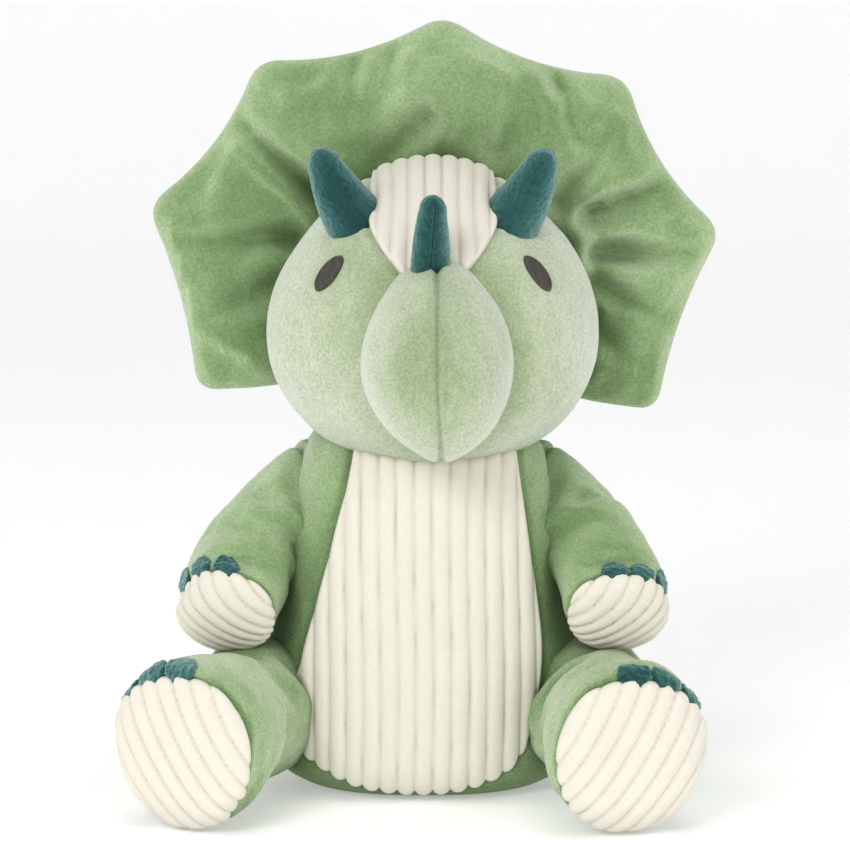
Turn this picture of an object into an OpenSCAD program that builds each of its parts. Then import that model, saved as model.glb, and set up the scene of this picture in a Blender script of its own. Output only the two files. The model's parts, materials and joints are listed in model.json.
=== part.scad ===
// Sitting stuffed dinosaur: a short-pile plush toy with a padded neck frill, three horns,
// a ribbed belly and ribbed pads on its paws and feet.
// It faces -Y, its own left side is +X, and it sits on the plane Z = 0.

/* [Fabric] */
// Thickness of the pile fabric, backing included
cover_t = 2.5; // [2:0.5:3]
// Space left between a cover and the filling inside it
fill_gap = 0.2; // [0.1:0.1:0.4]
// Space left round a limb's root in the torso
joint_gap = 0.4; // [0.4:0.1:0.8]

/* [Torso] */
// Radius of the flat seat
seat_r = 40; // [36:1:42]
// Largest radius, at the hips
hip_r = 64; // [62:1:65]
// Radius at the chest
chest_r = 56; // [54:1:58]
// Radius where the head is sewn on
collar_r = 42; // [40:1:44]
// Height of the torso before the head's hollow is taken out
torso_h = 152; // [148:1:156]
// Half of the angle that the belly panel covers
belly_angle = 45; // [40:1:50]
// Height of the belly panel's lower edge
belly_low = 6; // [4:1:12]

/* [Head] */
// Sideways lean of the head
head_x = 3.5; // [0:0.5:5]
// Forward set of the head
head_y = -10; // [-12:1:-8]
// Height of the head's centre
head_z = 188; // [186:1:192]
// Radius of the head seen from above
head_r = 65; // [63:1:66]
// Half of the head's height
head_half_h = 59; // [57:1:60]
// Radius of the muzzle
snout_r = 33; // [30:1:35]
// Distance from the head's centre to the muzzle's tip
snout_reach = 97; // [92:1:100]
// Downward tilt of the muzzle
snout_tilt = 10; // [6:1:12]

/* [Frill] */
// Thickness of the padded frill
frill_t = 18; // [14:1:22]
// Distance of the frill's front face behind the head's centre
frill_set = 13; // [10:1:16]
// Sideways roll of the frill
frill_roll = 2.5; // [0:0.5:4]

/* [Horns] */
// Radius of a brow horn's base
brow_horn_r = 10; // [9:0.5:11]
// Length of a brow horn
brow_horn_l = 34; // [30:1:38]
// Radius of the nose horn's base
nose_horn_r = 8; // [7:0.5:9]
// Length of the nose horn
nose_horn_l = 34; // [30:1:38]

/* [Arms] */
// Radius of an arm at the shoulder
shoulder_r = 14; // [12:0.5:14]
// Radius of an arm at the paw
paw_r = 17.5; // [17:0.5:18]
// Length from the shoulder's centre to the paw pad
arm_l = 67; // [64:1:70]

/* [Legs] */
// Radius of a leg at the hip
thigh_r = 27; // [26:0.5:28]
// Radius of a foot
foot_r = 31.7; // [30:0.1:31.9]
// Length from the hip's centre to the sole
leg_l = 86; // [82:1:90]
// Outward turn of the right leg
splay_right = 30; // [24:1:32]
// Outward turn of the left leg
splay_left = 20.5; // [18:0.5:28]

/* [Tail] */
// Radius of the tail's root
tail_r = 20; // [18:1:21]
// Length of the tail
tail_l = 50; // [45:1:55]

/* [Hidden] */
$fn = 72;

sage = [0.59, 0.71, 0.50];
mint = [0.79, 0.86, 0.74];
cream = [0.94, 0.92, 0.87];
teal = [0.22, 0.45, 0.45];
thread_brown = [0.20, 0.17, 0.14];
fibre = [0.96, 0.96, 0.94];
pellet = [0.80, 0.78, 0.72];
label_white = [0.97, 0.97, 0.97];

LEFT = 1;
RIGHT = -1;
head_c = [head_x, head_y, head_z];
arc_steps = 14;

// Limb pivots, sideways distance first, and the directions of the limbs
shoulder = [56, -2, 116];
hip = [45, -22, 32];
arm_out = 18.8;
arm_drop = 41.2;
tail_root = [0, 58, 24];
tail_drop = 12;

// Hollows in the torso's sides: a ball takes in the arm's whole swing, and a ball that
// widens into a cone along the middle of its swing takes in the leg
arm_hollow_c = [78, -10, 110];
arm_hollow_r = 38.5;
leg_hollow_swing = -9.5;
leg_hollow_extra = 2.5;
leg_hollow_slope = 0.33;
leg_hollow_turn = 10;
tail_hollow_extra = 1.5;

// The head's hollow in the torso is larger than the head by this much
nod_room = [2, 2.5];
neck_r = 26;
neck_low = 112;

// Ellipse arc from angle a0 to a1, as [radius, height] points about a centre height
function arc(rx, rz, a0, a1, z = 0) = [
    for (i = [0:arc_steps])
    let (a = a0 + (a1 - a0) * i / arc_steps)
    [rx * cos(a), z + rz * sin(a)]
];
function reversed(p) = [for (i = [len(p) - 1:-1:0]) p[i]];
function catmull(a, b, c, d, t) =
    0.5 * (2 * b + (c - a) * t + (2 * a - 5 * b + 4 * c - d) * t * t
    + (3 * b - a - 3 * c + d) * t * t * t);
// Smooth curve through the points p, n steps between neighbours
function spline(p, n) = [
    for (i = [0:len(p) - 2], k = [0:n - 1])
    catmull(p[max(i - 1, 0)], p[i], p[i + 1], p[min(i + 2, len(p) - 1)], k / n),
    p[len(p) - 1]
];

// ---- Torso ----

torso_curve = concat(
    [[0, 0]],
    spline([
        [seat_r, 0], [hip_r - 6, 12], [hip_r, 48], [chest_r, 100],
        [collar_r, torso_h - 9], [30, torso_h - 2]
    ], 4),
    [[0, torso_h]]
);
function torso_inset(t) = [
    for (p = torso_curve)
    [max(p.x - t, 0), min(max(p.y, t), torso_h - t)]
];
torso_ring = concat(torso_curve, reversed(torso_inset(cover_t)));

module belly_wedge() {
    reach = 90;
    translate([0, 0, belly_low])
    linear_extrude(torso_h)
    polygon([
        [0, 0],
        [-reach * sin(belly_angle), -reach * cos(belly_angle)],
        [0, -2 * reach],
        [reach * sin(belly_angle), -reach * cos(belly_angle)]
    ]);
}

// Room for the head, the limbs and the tail over their whole travel
module head_hollow() {
    translate(head_c)
    rotate_extrude()
    polygon(arc(head_r + nod_room[0], head_half_h + nod_room[1], -90, 90));
}
// The head's hollow with the round well of the neck below it, as one turned shape
module neck_well() {
    rx = head_r + nod_room[0];
    well_r = neck_r + joint_gap;
    well_low = neck_low - joint_gap - head_z;
    translate(head_c)
    rotate_extrude()
    polygon(concat(
        [[0, well_low], [well_r, well_low]],
        arc(rx, head_half_h + nod_room[1], -acos(well_r / rx), 90)
    ));
}
module arm_hollow(side) {
    translate([arm_hollow_c.x * side, arm_hollow_c.y, arm_hollow_c.z])
    sphere(arm_hollow_r);
}
module leg_hollow(side) {
    ball_r = thigh_r + leg_hollow_extra;
    end_r = ball_r + leg_hollow_slope * leg_l;
    at_hip(side, leg_hollow_swing)
    rotate_extrude()
    polygon(concat(
        arc(ball_r, ball_r, -90, leg_hollow_turn),
        [[end_r, leg_l], [0, leg_l]]
    ));
}
module tail_hollow() {
    at_tail() sphere(tail_r + tail_hollow_extra);
}
module torso_half(side) {
    color(sage)
    difference() {
        rotate([0, 0, -90 * side])
        rotate_extrude(angle = 180)
        polygon(torso_ring);
        belly_wedge();
        head_hollow();
        arm_hollow(side);
        leg_hollow(side);
        tail_hollow();
    }
}
module body_left_panel() torso_half(LEFT);
module body_right_panel() torso_half(RIGHT);
module belly_panel() {
    color(cream)
    difference() {
        intersection() {
            rotate_extrude() polygon(torso_ring);
            belly_wedge();
        }
        head_hollow();
        for (side = [LEFT, RIGHT]) {
            arm_hollow(side);
            leg_hollow(side);
        }
    }
}
// The pellet bag is a flat round cushion in a pocket of the filling, just above the seat
pellet_bag_r = 26;
pellet_bag_top = 18;
bag_edge = 6;
module pellet_bag() {
    low = cover_t + fill_gap;
    color(pellet)
    rotate_extrude()
    polygon(concat(
        [[0, low]],
        [for (p = arc(bag_edge, bag_edge, -90, 0, low + bag_edge))
            [pellet_bag_r - bag_edge + p.x, p.y]],
        [for (p = arc(bag_edge, bag_edge, 0, 90, pellet_bag_top - bag_edge))
            [pellet_bag_r - bag_edge + p.x, p.y]],
        [[0, pellet_bag_top]]
    ));
}
module body_stuffing() {
    color(fibre)
    difference() {
        rotate_extrude() polygon(torso_inset(cover_t + fill_gap));
        cylinder(r = pellet_bag_r + fill_gap, h = pellet_bag_top + fill_gap);
        neck_well();
        for (side = [LEFT, RIGHT]) {
            arm_hollow(side);
            leg_hollow(side);
        }
        tail_hollow();
    }
}
// Blank woven label in the back seam of the left panel
label_size = [20, 1.2, 26];
module care_label() {
    color(label_white)
    rotate([0, 0, 38])
    translate([hip_r + 0.3, 0, 30])
    cube(label_size);
}
module neck_stuffing() {
    color(fibre)
    difference() {
        translate([head_x, head_y, neck_low])
        cylinder(r = neck_r, h = torso_h - neck_low);
        head_hollow();
    }
}

// ---- Head ----

module head_solid(extra = 0) {
    translate(head_c)
    rotate_extrude()
    polygon(arc(head_r + extra, head_half_h + extra, -90, 90));
}
module head_shell() {
    translate(head_c)
    rotate_extrude()
    polygon(concat(
        arc(head_r, head_half_h, -90, 90),
        arc(head_r - cover_t, head_half_h - cover_t, 90, -90)
    ));
}
// Forehead outline seen from the front, narrow between the eyes and wide at the crown
forehead_outline = [
    [-11, 16], [-20, 30], [-27, 42], [-26, 52], [-21, 66],
    [21, 66], [26, 52], [27, 42], [20, 30], [11, 16]
];
module forehead_prism() {
    translate(head_c + [0, frill_set, 0])
    rotate([90, 0, 0])
    linear_extrude(head_r + frill_set)
    polygon(forehead_outline);
}
// Everything in front of the frill on one side, or on both with side = 0
module front_room(side) {
    reach = 2 * head_r;
    low_x = side == LEFT ? 0 : -reach;
    translate(head_c + [low_x, -reach + frill_set, -reach])
    cube([side == 0 ? 2 * reach : reach, reach, 2 * reach]);
}
module face_half(side) {
    color(mint)
    difference() {
        intersection() {
            head_shell();
            front_room(side);
        }
        forehead_prism();
    }
}
module face_left_panel() face_half(LEFT);
module face_right_panel() face_half(RIGHT);
module forehead_panel() {
    color(cream)
    intersection() {
        head_shell();
        forehead_prism();
    }
}
module head_back_panel() {
    color(sage)
    difference() {
        head_shell();
        front_room(0);
    }
}
module head_stuffing() {
    color(fibre) head_solid(-cover_t - fill_gap);
}

// The muzzle's own axis runs forwards and down from the head's centre
module at_snout() {
    translate(head_c + [1.4, 0, -8])
    rotate([90 + snout_tilt, 0, 0])
    children();
}
snout_dome = 34;
function snout_curve(inset) = concat(
    [[0, 30]],
    arc(snout_r - inset, snout_dome - inset, 0, 90, snout_reach - snout_dome)
);
module snout_solid(inset) {
    at_snout() rotate_extrude() polygon(concat([[snout_r - inset, 30]], snout_curve(inset)));
}
module snout_half(side) {
    color(mint)
    difference() {
        at_snout()
        rotate([0, 0, -90 * side])
        rotate_extrude(angle = 180)
        polygon(concat(
            [[snout_r, 30]],
            arc(snout_r, snout_dome, 0, 90, snout_reach - snout_dome),
            arc(snout_r - cover_t, snout_dome - cover_t, 90, 0, snout_reach - snout_dome),
            [[snout_r - cover_t, 30]]
        ));
        head_solid(0.1);
    }
}
module snout_left_panel() snout_half(LEFT);
module snout_right_panel() snout_half(RIGHT);
module snout_stuffing() {
    color(fibre)
    difference() {
        snout_solid(cover_t + fill_gap);
        head_solid(0.1);
    }
}

// Embroidered eyes lie on the face as thin oval patches
eye_size = [9.4, 17.5];
eye_height = 1.5;
module eye(side) {
    oval = [for (a = [0:15:345]) [eye_size.x / 2 * cos(a), eye_size.y / 2 * sin(a)]];
    color(thread_brown)
    difference() {
        intersection() {
            head_solid(eye_height);
            translate(head_c)
            rotate([0, 0, 43 * side])
            rotate([73, 0, 0])
            rotate([0, 0, 27 * side])
            linear_extrude(head_r + 5)
            polygon(oval);
        }
        head_solid(0.1);
    }
}
module eye_left() eye(LEFT);
module eye_right() eye(RIGHT);

// ---- Frill ----

// Tips of the right half seen from the front, from the crown down, about the frill's
// centre line at collar height, and how far the edge dips between neighbours
frill_tips = [[0, 151], [71, 130], [111.5, 71.5], [89.5, 2]];
frill_dips = [7, 5, 2.5];
frill_base_z = 150;
edge_steps = 6;
tip_share = 0.1;
function bezier(a, c, b, t) = (1 - t) * (1 - t) * a + 2 * t * (1 - t) * c + t * t * b;
function inward(a, b) =
    let (d = b - a, n = [d.y, -d.x] / norm(d))
    n * ((a + b) * n > 0 ? -1 : 1);
// One edge between two tips, without the rounded ends
function frill_edge(i) =
    let (a = frill_tips[i], b = frill_tips[i + 1])
    let (c = (a + b) / 2 + 2 * frill_dips[i] * inward(a, b))
    [
        for (k = [0:edge_steps])
        bezier(a, c, b, tip_share + (1 - 2 * tip_share) * k / edge_steps)
    ];
function rounded_tip(before, tip, after) = [
    for (t = [0.25, 0.5, 0.75]) bezier(before, tip, after, t)
];
frill_side = concat(
    frill_edge(0),
    rounded_tip(frill_edge(0)[edge_steps], frill_tips[1], frill_edge(1)[0]),
    frill_edge(1),
    rounded_tip(frill_edge(1)[edge_steps], frill_tips[2], frill_edge(2)[0]),
    frill_edge(2),
    rounded_tip(frill_edge(2)[edge_steps], frill_tips[3], [78, 0]),
    [[78, 0]]
);
function mirrored(p) = [for (i = [len(p) - 1:-1:0]) [-p[i].x, p[i].y]];
crown_left = frill_edge(0)[0];
frill_outline = concat(
    frill_side,
    mirrored(frill_side),
    rounded_tip([-crown_left.x, crown_left.y], frill_tips[0], crown_left)
);
// A layer of the frill between two depths behind its front face
module frill_layer(y0, y1, shade, shrink = 1) {
    color(shade)
    difference() {
        translate([1.2, head_y + frill_set + y1, frill_base_z])
        rotate([90, frill_roll, 0])
        linear_extrude(y1 - y0)
        translate([0, 70]) scale(shrink) translate([0, -70])
        polygon(frill_outline);
        head_solid(0.2);
    }
}
module frill_front() frill_layer(0, cover_t, sage);
module frill_wadding() {
    frill_layer(cover_t + fill_gap, frill_t - cover_t - fill_gap, fibre, 0.96);
}
module frill_back() frill_layer(frill_t - cover_t, frill_t, sage);

// ---- Horns ----

// A horn is a soft cone with a round tip, its root sunk in the head
function horn_curve(base_r, tip_r, length, inset) = concat(
    [[0, 0], [base_r - inset, 0]],
    arc(tip_r - inset, tip_r - inset, 8, 90, length - tip_r)
);
module horn_cover(base_r, tip_r, length) {
    rotate_extrude()
    polygon(concat(
        [[base_r, 0]],
        arc(tip_r, tip_r, 8, 90, length - tip_r),
        arc(tip_r - cover_t, tip_r - cover_t, 90, 8, length - tip_r),
        [[base_r - cover_t, 0]]
    ));
}
horn_root = 18;
nose_tip_r = 5;
brow_tip_r = 5.5;
module at_nose_horn() {
    translate(head_c + [-0.5, -60, 20])
    rotate([24, 0, 0])
    children();
}
module nose_horn() {
    color(teal)
    difference() {
        at_nose_horn() horn_cover(nose_horn_r, nose_tip_r, nose_horn_l);
        head_solid(0.1);
    }
}
module nose_horn_stuffing() {
    color(fibre)
    difference() {
        at_nose_horn()
        rotate_extrude()
        polygon(horn_curve(nose_horn_r, nose_tip_r, nose_horn_l, cover_t + fill_gap));
        head_solid(0.1);
    }
}
module at_brow_horn(side) {
    translate(head_c + [22 * side, -18, 28])
    rotate([18, 24 * side, 0])
    children();
}
module brow_horn(side) {
    color(teal)
    difference() {
        at_brow_horn(side) horn_cover(brow_horn_r, brow_tip_r, brow_horn_l + horn_root);
        head_solid(0.1);
    }
}
module brow_horn_stuffing(side) {
    color(fibre)
    difference() {
        at_brow_horn(side)
        rotate_extrude()
        polygon(horn_curve(
            brow_horn_r, brow_tip_r, brow_horn_l + horn_root, cover_t + fill_gap));
        head_solid(0.1);
    }
}
module brow_horn_left() brow_horn(LEFT);
module brow_horn_left_stuffing() brow_horn_stuffing(LEFT);
module brow_horn_right() brow_horn(RIGHT);
module brow_horn_right_stuffing() brow_horn_stuffing(RIGHT);

// ---- Limbs ----

// A limb's own axis is +Z, from its pivot at the origin to its end
module at_shoulder(side, swing = 0) {
    translate([shoulder.x * side, shoulder.y, shoulder.z])
    rotate([-swing, 0, 0])
    rotate([90 + arm_drop, 0, 0])
    rotate([0, arm_out * side, 0])
    children();
}
module at_hip(side, swing = 0) {
    splay = side == LEFT ? splay_left : splay_right;
    translate([hip.x * side, hip.y, hip.z])
    rotate([-swing, 0, 0])
    rotate([90, 0, splay * side])
    children();
}
module at_tail(wag = 0) {
    translate(tail_root)
    rotate([0, 0, wag])
    rotate([-90 - tail_drop, 0, 0])
    children();
}
// Outline of a limb from its round root to the angle a of its domed end
function limb_curve(root_r, end_r, length, dome, a, inset) = concat(
    arc(root_r - inset, root_r - inset, -90, 0),
    arc(end_r - inset, dome - inset, 0, a, length - dome)
);
function dome_curve(end_r, length, dome, a, inset) =
    arc(end_r - inset, dome - inset, a, 90, length - dome);
module limb_cover(root_r, end_r, length, dome, a) {
    rotate_extrude()
    polygon(concat(
        limb_curve(root_r, end_r, length, dome, a, 0),
        reversed(limb_curve(root_r, end_r, length, dome, a, cover_t))
    ));
}
module limb_pad(end_r, length, dome, a) {
    rotate_extrude()
    polygon(concat(
        dome_curve(end_r, length, dome, a, 0),
        reversed(dome_curve(end_r, length, dome, a, cover_t))
    ));
}
module limb_solid(root_r, end_r, length, dome, inset) {
    rotate_extrude()
    polygon(limb_curve(root_r, end_r, length, dome, 90, inset));
}
// Three soft claws in a row over the end of a limb, each a capsule sunk in the cover
module limb_claws(end_r, length, dome, claw_r, spread, turn, cover_root) {
    for (i = [-1:1])
    difference() {
        rotate([0, 0, turn + i * spread])
        translate([end_r - 1.5, 0, length - dome - 2.5 * claw_r])
        rotate_extrude()
        polygon(concat(
            arc(claw_r, claw_r, -90, 0),
            arc(claw_r, claw_r, 0, 90, 1.8 * claw_r)
        ));
        limb_solid(cover_root, end_r, length, dome, -0.15);
    }
}

paw_dome = 8;
pad_start = 30;
paw_claw_r = 5.5;
module arm_cover(side) {
    color(sage)
    at_shoulder(side) limb_cover(shoulder_r, paw_r, arm_l, paw_dome, pad_start);
}
module arm_pad(side) {
    color(cream)
    at_shoulder(side) limb_pad(paw_r, arm_l, paw_dome, pad_start);
}
module arm_claws(side) {
    color(teal)
    at_shoulder(side)
    limb_claws(paw_r, arm_l, paw_dome, paw_claw_r, 40, 90 - 25 * side, shoulder_r);
}
module arm_stuffing(side) {
    color(fibre)
    at_shoulder(side) limb_solid(shoulder_r, paw_r, arm_l, paw_dome, cover_t + fill_gap);
}
module arm_left_cover() arm_cover(LEFT);
module arm_left_pad() arm_pad(LEFT);
module arm_left_claws() arm_claws(LEFT);
module arm_left_stuffing() arm_stuffing(LEFT);
module arm_right_cover() arm_cover(RIGHT);
module arm_right_pad() arm_pad(RIGHT);
module arm_right_claws() arm_claws(RIGHT);
module arm_right_stuffing() arm_stuffing(RIGHT);

foot_dome = 12;
sole_start = 35;
foot_claw_r = 7.5;
module leg_cover(side) {
    color(sage)
    at_hip(side) limb_cover(thigh_r, foot_r, leg_l, foot_dome, sole_start);
}
module leg_sole(side) {
    color(cream)
    at_hip(side) limb_pad(foot_r, leg_l, foot_dome, sole_start);
}
module leg_claws(side) {
    color(teal)
    at_hip(side)
    limb_claws(foot_r, leg_l, foot_dome, foot_claw_r, 33, 90 - 25 * side, thigh_r);
}
module leg_stuffing(side) {
    color(fibre)
    at_hip(side) limb_solid(thigh_r, foot_r, leg_l, foot_dome, cover_t + fill_gap);
}
module leg_left_cover() leg_cover(LEFT);
module leg_left_sole() leg_sole(LEFT);
module leg_left_claws() leg_claws(LEFT);
module leg_left_stuffing() leg_stuffing(LEFT);
module leg_right_cover() leg_cover(RIGHT);
module leg_right_sole() leg_sole(RIGHT);
module leg_right_claws() leg_claws(RIGHT);
module leg_right_stuffing() leg_stuffing(RIGHT);

tail_tip_r = 7;
module tail_cover() {
    color(sage)
    at_tail() limb_cover(tail_r, tail_tip_r, tail_l, tail_tip_r, 90);
}
module tail_stuffing() {
    color(fibre)
    at_tail() limb_solid(tail_r, tail_tip_r, tail_l, tail_tip_r, cover_t + fill_gap);
}

body_left_panel();
body_right_panel();
belly_panel();
body_stuffing();
pellet_bag();
care_label();
neck_stuffing();
face_left_panel();
face_right_panel();
forehead_panel();
head_back_panel();
head_stuffing();
snout_left_panel();
snout_right_panel();
snout_stuffing();
frill_front();
frill_back();
frill_wadding();
eye_left();
eye_right();
nose_horn();
nose_horn_stuffing();
brow_horn_left();
brow_horn_left_stuffing();
brow_horn_right();
brow_horn_right_stuffing();
arm_left_cover();
arm_left_pad();
arm_left_claws();
arm_left_stuffing();
arm_right_cover();
arm_right_pad();
arm_right_claws();
arm_right_stuffing();
leg_left_cover();
leg_left_sole();
leg_left_claws();
leg_left_stuffing();
leg_right_cover();
leg_right_sole();
leg_right_claws();
leg_right_stuffing();
tail_cover();
tail_stuffing();
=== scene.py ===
"""Looks of the sitting stuffed dinosaur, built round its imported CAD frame.

Shapes are worked out in millimetres and scaled to metres when a mesh is made.
Left and right are the toy's own: left is +X. The toy faces -Y.
"""

import json
import math

import bpy
import numpy as np
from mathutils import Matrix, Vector, kdtree, noise


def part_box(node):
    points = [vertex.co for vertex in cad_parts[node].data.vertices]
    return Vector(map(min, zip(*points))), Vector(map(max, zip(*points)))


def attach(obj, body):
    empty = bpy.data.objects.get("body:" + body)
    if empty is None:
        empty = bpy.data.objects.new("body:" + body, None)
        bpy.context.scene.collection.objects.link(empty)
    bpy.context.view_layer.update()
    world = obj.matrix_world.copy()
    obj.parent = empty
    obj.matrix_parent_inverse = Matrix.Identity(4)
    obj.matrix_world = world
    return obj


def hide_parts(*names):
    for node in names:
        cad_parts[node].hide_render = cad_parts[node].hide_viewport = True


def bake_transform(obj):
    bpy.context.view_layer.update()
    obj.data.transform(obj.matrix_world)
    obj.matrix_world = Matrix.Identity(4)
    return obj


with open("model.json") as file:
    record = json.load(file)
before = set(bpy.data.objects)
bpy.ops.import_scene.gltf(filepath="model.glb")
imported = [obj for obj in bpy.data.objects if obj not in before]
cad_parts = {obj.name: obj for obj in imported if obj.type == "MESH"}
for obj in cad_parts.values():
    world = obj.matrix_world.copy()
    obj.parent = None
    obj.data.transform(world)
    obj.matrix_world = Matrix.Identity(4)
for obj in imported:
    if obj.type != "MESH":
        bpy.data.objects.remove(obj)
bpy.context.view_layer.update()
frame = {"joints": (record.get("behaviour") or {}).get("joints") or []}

MM = 0.001
LEFT, RIGHT = 1, -1
SIDES = {"left": LEFT, "right": RIGHT}
RIB_PITCH = 6.9
RIB_HEIGHT = 1.5
GROOVE_LIFT = 0.3  # a panel's height over its base in the grooves between ribs


# ---- Places, from the frame ----

def node_box(name):
    low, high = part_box(name)
    return np.array(low) / MM, np.array(high) / MM


def node_centre(name):
    low, high = node_box(name)
    return (low + high) / 2


def joint_place(name):
    joint = next(j for j in frame["joints"] if j["name"] == name)
    return np.array(joint["pos_m"]) / MM


HEAD = node_centre("head_stuffing") + np.array((0, 0, -2))
FRILL_FRONT = node_box("frill_front")[0][1]


# ---- Meshes ----

def add_mesh(name, points, faces, material):
    mesh = bpy.data.meshes.new(name)
    mesh.from_pydata((np.asarray(points) * MM).tolist(), [], faces)
    mesh.validate()
    mesh.polygons.foreach_set("use_smooth", [True] * len(mesh.polygons))
    mesh.materials.append(material)
    piece = bpy.data.objects.new(name, mesh)
    bpy.context.scene.collection.objects.link(piece)
    return piece


def grid_quads(rows, columns, wrap=False):
    """Quads of a grid of points kept row by row, joined round the columns with wrap."""
    r, c = np.meshgrid(
        np.arange(rows - 1), np.arange(columns if wrap else columns - 1), indexing="ij")
    right = (c + 1) % columns
    quads = np.stack(
        [r * columns + c, r * columns + right, (r + 1) * columns + right, (r + 1) * columns + c],
        axis=-1)
    return quads.reshape(-1, 4)


def closed_tube(rings, start, end):
    """Points and faces of rings joined in a row and closed to a point at both ends."""
    rows, columns = rings.shape[:2]
    points = np.vstack([rings.reshape(-1, 3), start, end])
    faces = grid_quads(rows, columns, wrap=True).tolist()
    first, last = rows * columns, rows * columns + 1
    base = (rows - 1) * columns
    for c in range(columns):
        right = (c + 1) % columns
        faces.append([right, c, first])
        faces.append([base + c, base + right, last])
    return points, faces


def ball_directions(n):
    """Unit directions and quads of a cube with n quads along each edge, blown up to a ball."""
    index, points, faces = {}, [], []
    line = np.tan(np.linspace(-math.pi / 4, math.pi / 4, n + 1))
    for axis in range(3):
        for sign in (-1, 1):
            ids = np.empty((n + 1, n + 1), int)
            for i, a in enumerate(line):
                for j, b in enumerate(line):
                    p = [0, 0, 0]
                    p[axis], p[(axis + 1) % 3], p[(axis + 2) % 3] = sign, a, b
                    key = tuple(round(q * 1e6) for q in p)
                    if key not in index:
                        index[key] = len(points)
                        points.append(p)
                    ids[i, j] = index[key]
            for i in range(n):
                for j in range(n):
                    quad = [ids[i, j], ids[i + 1, j], ids[i + 1, j + 1], ids[i, j + 1]]
                    faces.append([int(k) for k in (quad if sign > 0 else quad[::-1])])
    points = np.array(points)
    return points / np.linalg.norm(points, axis=1, keepdims=True), faces


def unit(v):
    v = np.asarray(v, float)
    return v / np.linalg.norm(v, axis=-1, keepdims=True)


def smooth_step(t):
    t = np.clip(t, 0, 1)
    return t * t * (3 - 2 * t)


def spline(stations, steps):
    """Smooth curve through the stations, with this many steps between neighbours."""
    p = np.asarray(stations, float)
    ends = np.vstack([p[0], p, p[-1]])
    curve = []
    for i in range(len(p) - 1):
        a, b, c, d = ends[i:i + 4]
        for t in np.arange(steps) / steps:
            curve.append(0.5 * (
                2 * b + (c - a) * t + (2 * a - 5 * b + 4 * c - d) * t ** 2
                + (3 * b - a - 3 * c + d) * t ** 3))
    return np.array(curve + [p[-1]])


def outline_distance(x, y, outline):
    """Signed distance to a closed outline, negative inside it."""
    a = np.asarray(outline, float)
    b = np.roll(a, -1, axis=0)
    nearest = np.full(x.shape, 1e9)
    inside = np.zeros(x.shape, bool)
    for (ax, ay), (bx, by) in zip(a, b):
        ex, ey = bx - ax, by - ay
        t = np.clip(((x - ax) * ex + (y - ay) * ey) / (ex * ex + ey * ey + 1e-12), 0, 1)
        nearest = np.minimum(nearest, np.hypot(x - ax - t * ex, y - ay - t * ey))
        if ay != by:
            crosses = (ay > y) != (by > y)
            inside ^= crosses & (x < ex * (y - ay) / ey + ax)
    return np.where(inside, -nearest, nearest)


def waves(points, size, seed=0):
    """Smooth noise from -1 to 1, its lumps about this many millimetres apart."""
    shift = Vector((seed * 17.3, seed * 5.1, seed * 9.7))
    return np.array([noise.noise(Vector(p) / size + shift) for p in points.tolist()])


def creases(points, lines):
    """Depth of soft folds pressed in along lines, each given as start, end, depth, width."""
    total = np.zeros(len(points))
    for start, end, depth, width in lines:
        a, b = np.asarray(start, float), np.asarray(end, float)
        along = (points - a) @ (b - a) / ((b - a) @ (b - a))
        t = np.clip(along, 0, 1)
        away = np.linalg.norm(points - a - t[:, None] * (b - a), axis=1)
        fade = 1 - 0.85 * smooth_step(t)
        total += depth * fade * (np.exp(-(away / width) ** 2)
                                 - 0.4 * np.exp(-((away - 2.1 * width) / width) ** 2))
    return total


def surface_normals(grid, middle):
    along = np.gradient(grid, axis=0)
    across = np.gradient(grid, axis=1)
    normal = np.cross(along, across)
    normal /= np.linalg.norm(normal, axis=-1, keepdims=True) + 1e-9
    outward = np.sum(normal * (grid - middle), axis=-1, keepdims=True)
    return normal * np.where(outward < 0, -1, 1)


def rib(u):
    """Height of a corduroy rib from 0 in its groove to 1 on its crest."""
    return np.abs(np.cos(math.pi * u / RIB_PITCH)) ** 0.5


def panel(name, surface, distance, height, u_span, v_span, step, material, middle,
          edge=2.2, bury=1.6, thickness=1.4, margin=1.6):
    """A thin closed patch on a surface. It dives under the surface along its outline."""
    us = np.arange(u_span[0], u_span[1] + step, step)
    vs = np.arange(v_span[0], v_span[1] + step, step)
    u, v = np.meshgrid(us, vs, indexing="ij")
    base = surface(u, v)
    normal = surface_normals(base, middle)
    d = distance(u, v, base)
    cover = np.where(d < 0, 1 - (1 - np.clip(-d / edge, 0, 1)) ** 2, 0)
    cover = np.sqrt(np.clip(cover, 0, 1))
    rise = cover * (bury + height(u, v, base)) - bury
    top = base + normal * rise[..., None]
    bottom = base - normal * (bury + thickness)
    quads = grid_quads(*u.shape)
    quads = quads[(d.reshape(-1)[quads] < margin).all(axis=1)]
    return shell(name, top.reshape(-1, 3), bottom.reshape(-1, 3), quads, material)


def shell(name, top, bottom, quads, material):
    """Closes two layers that share their quads with a wall round the border."""
    used, compact = np.unique(quads, return_inverse=True)
    quads = compact.reshape(-1, 4)
    count = len(used)
    edges = np.concatenate([quads[:, [i, (i + 1) % 4]] for i in range(4)])
    keys = np.sort(edges, axis=1)
    _, first, uses = np.unique(keys, axis=0, return_index=True, return_counts=True)
    border = edges[first[uses == 1]]
    wall = np.column_stack(
        [border[:, 1], border[:, 0], border[:, 0] + count, border[:, 1] + count])
    faces = np.vstack([quads, quads[:, ::-1] + count, wall])
    points = np.vstack([top[used], bottom[used]])
    piece = add_mesh(name, points, faces.tolist(), material)
    make_outward(piece)
    return piece


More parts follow.
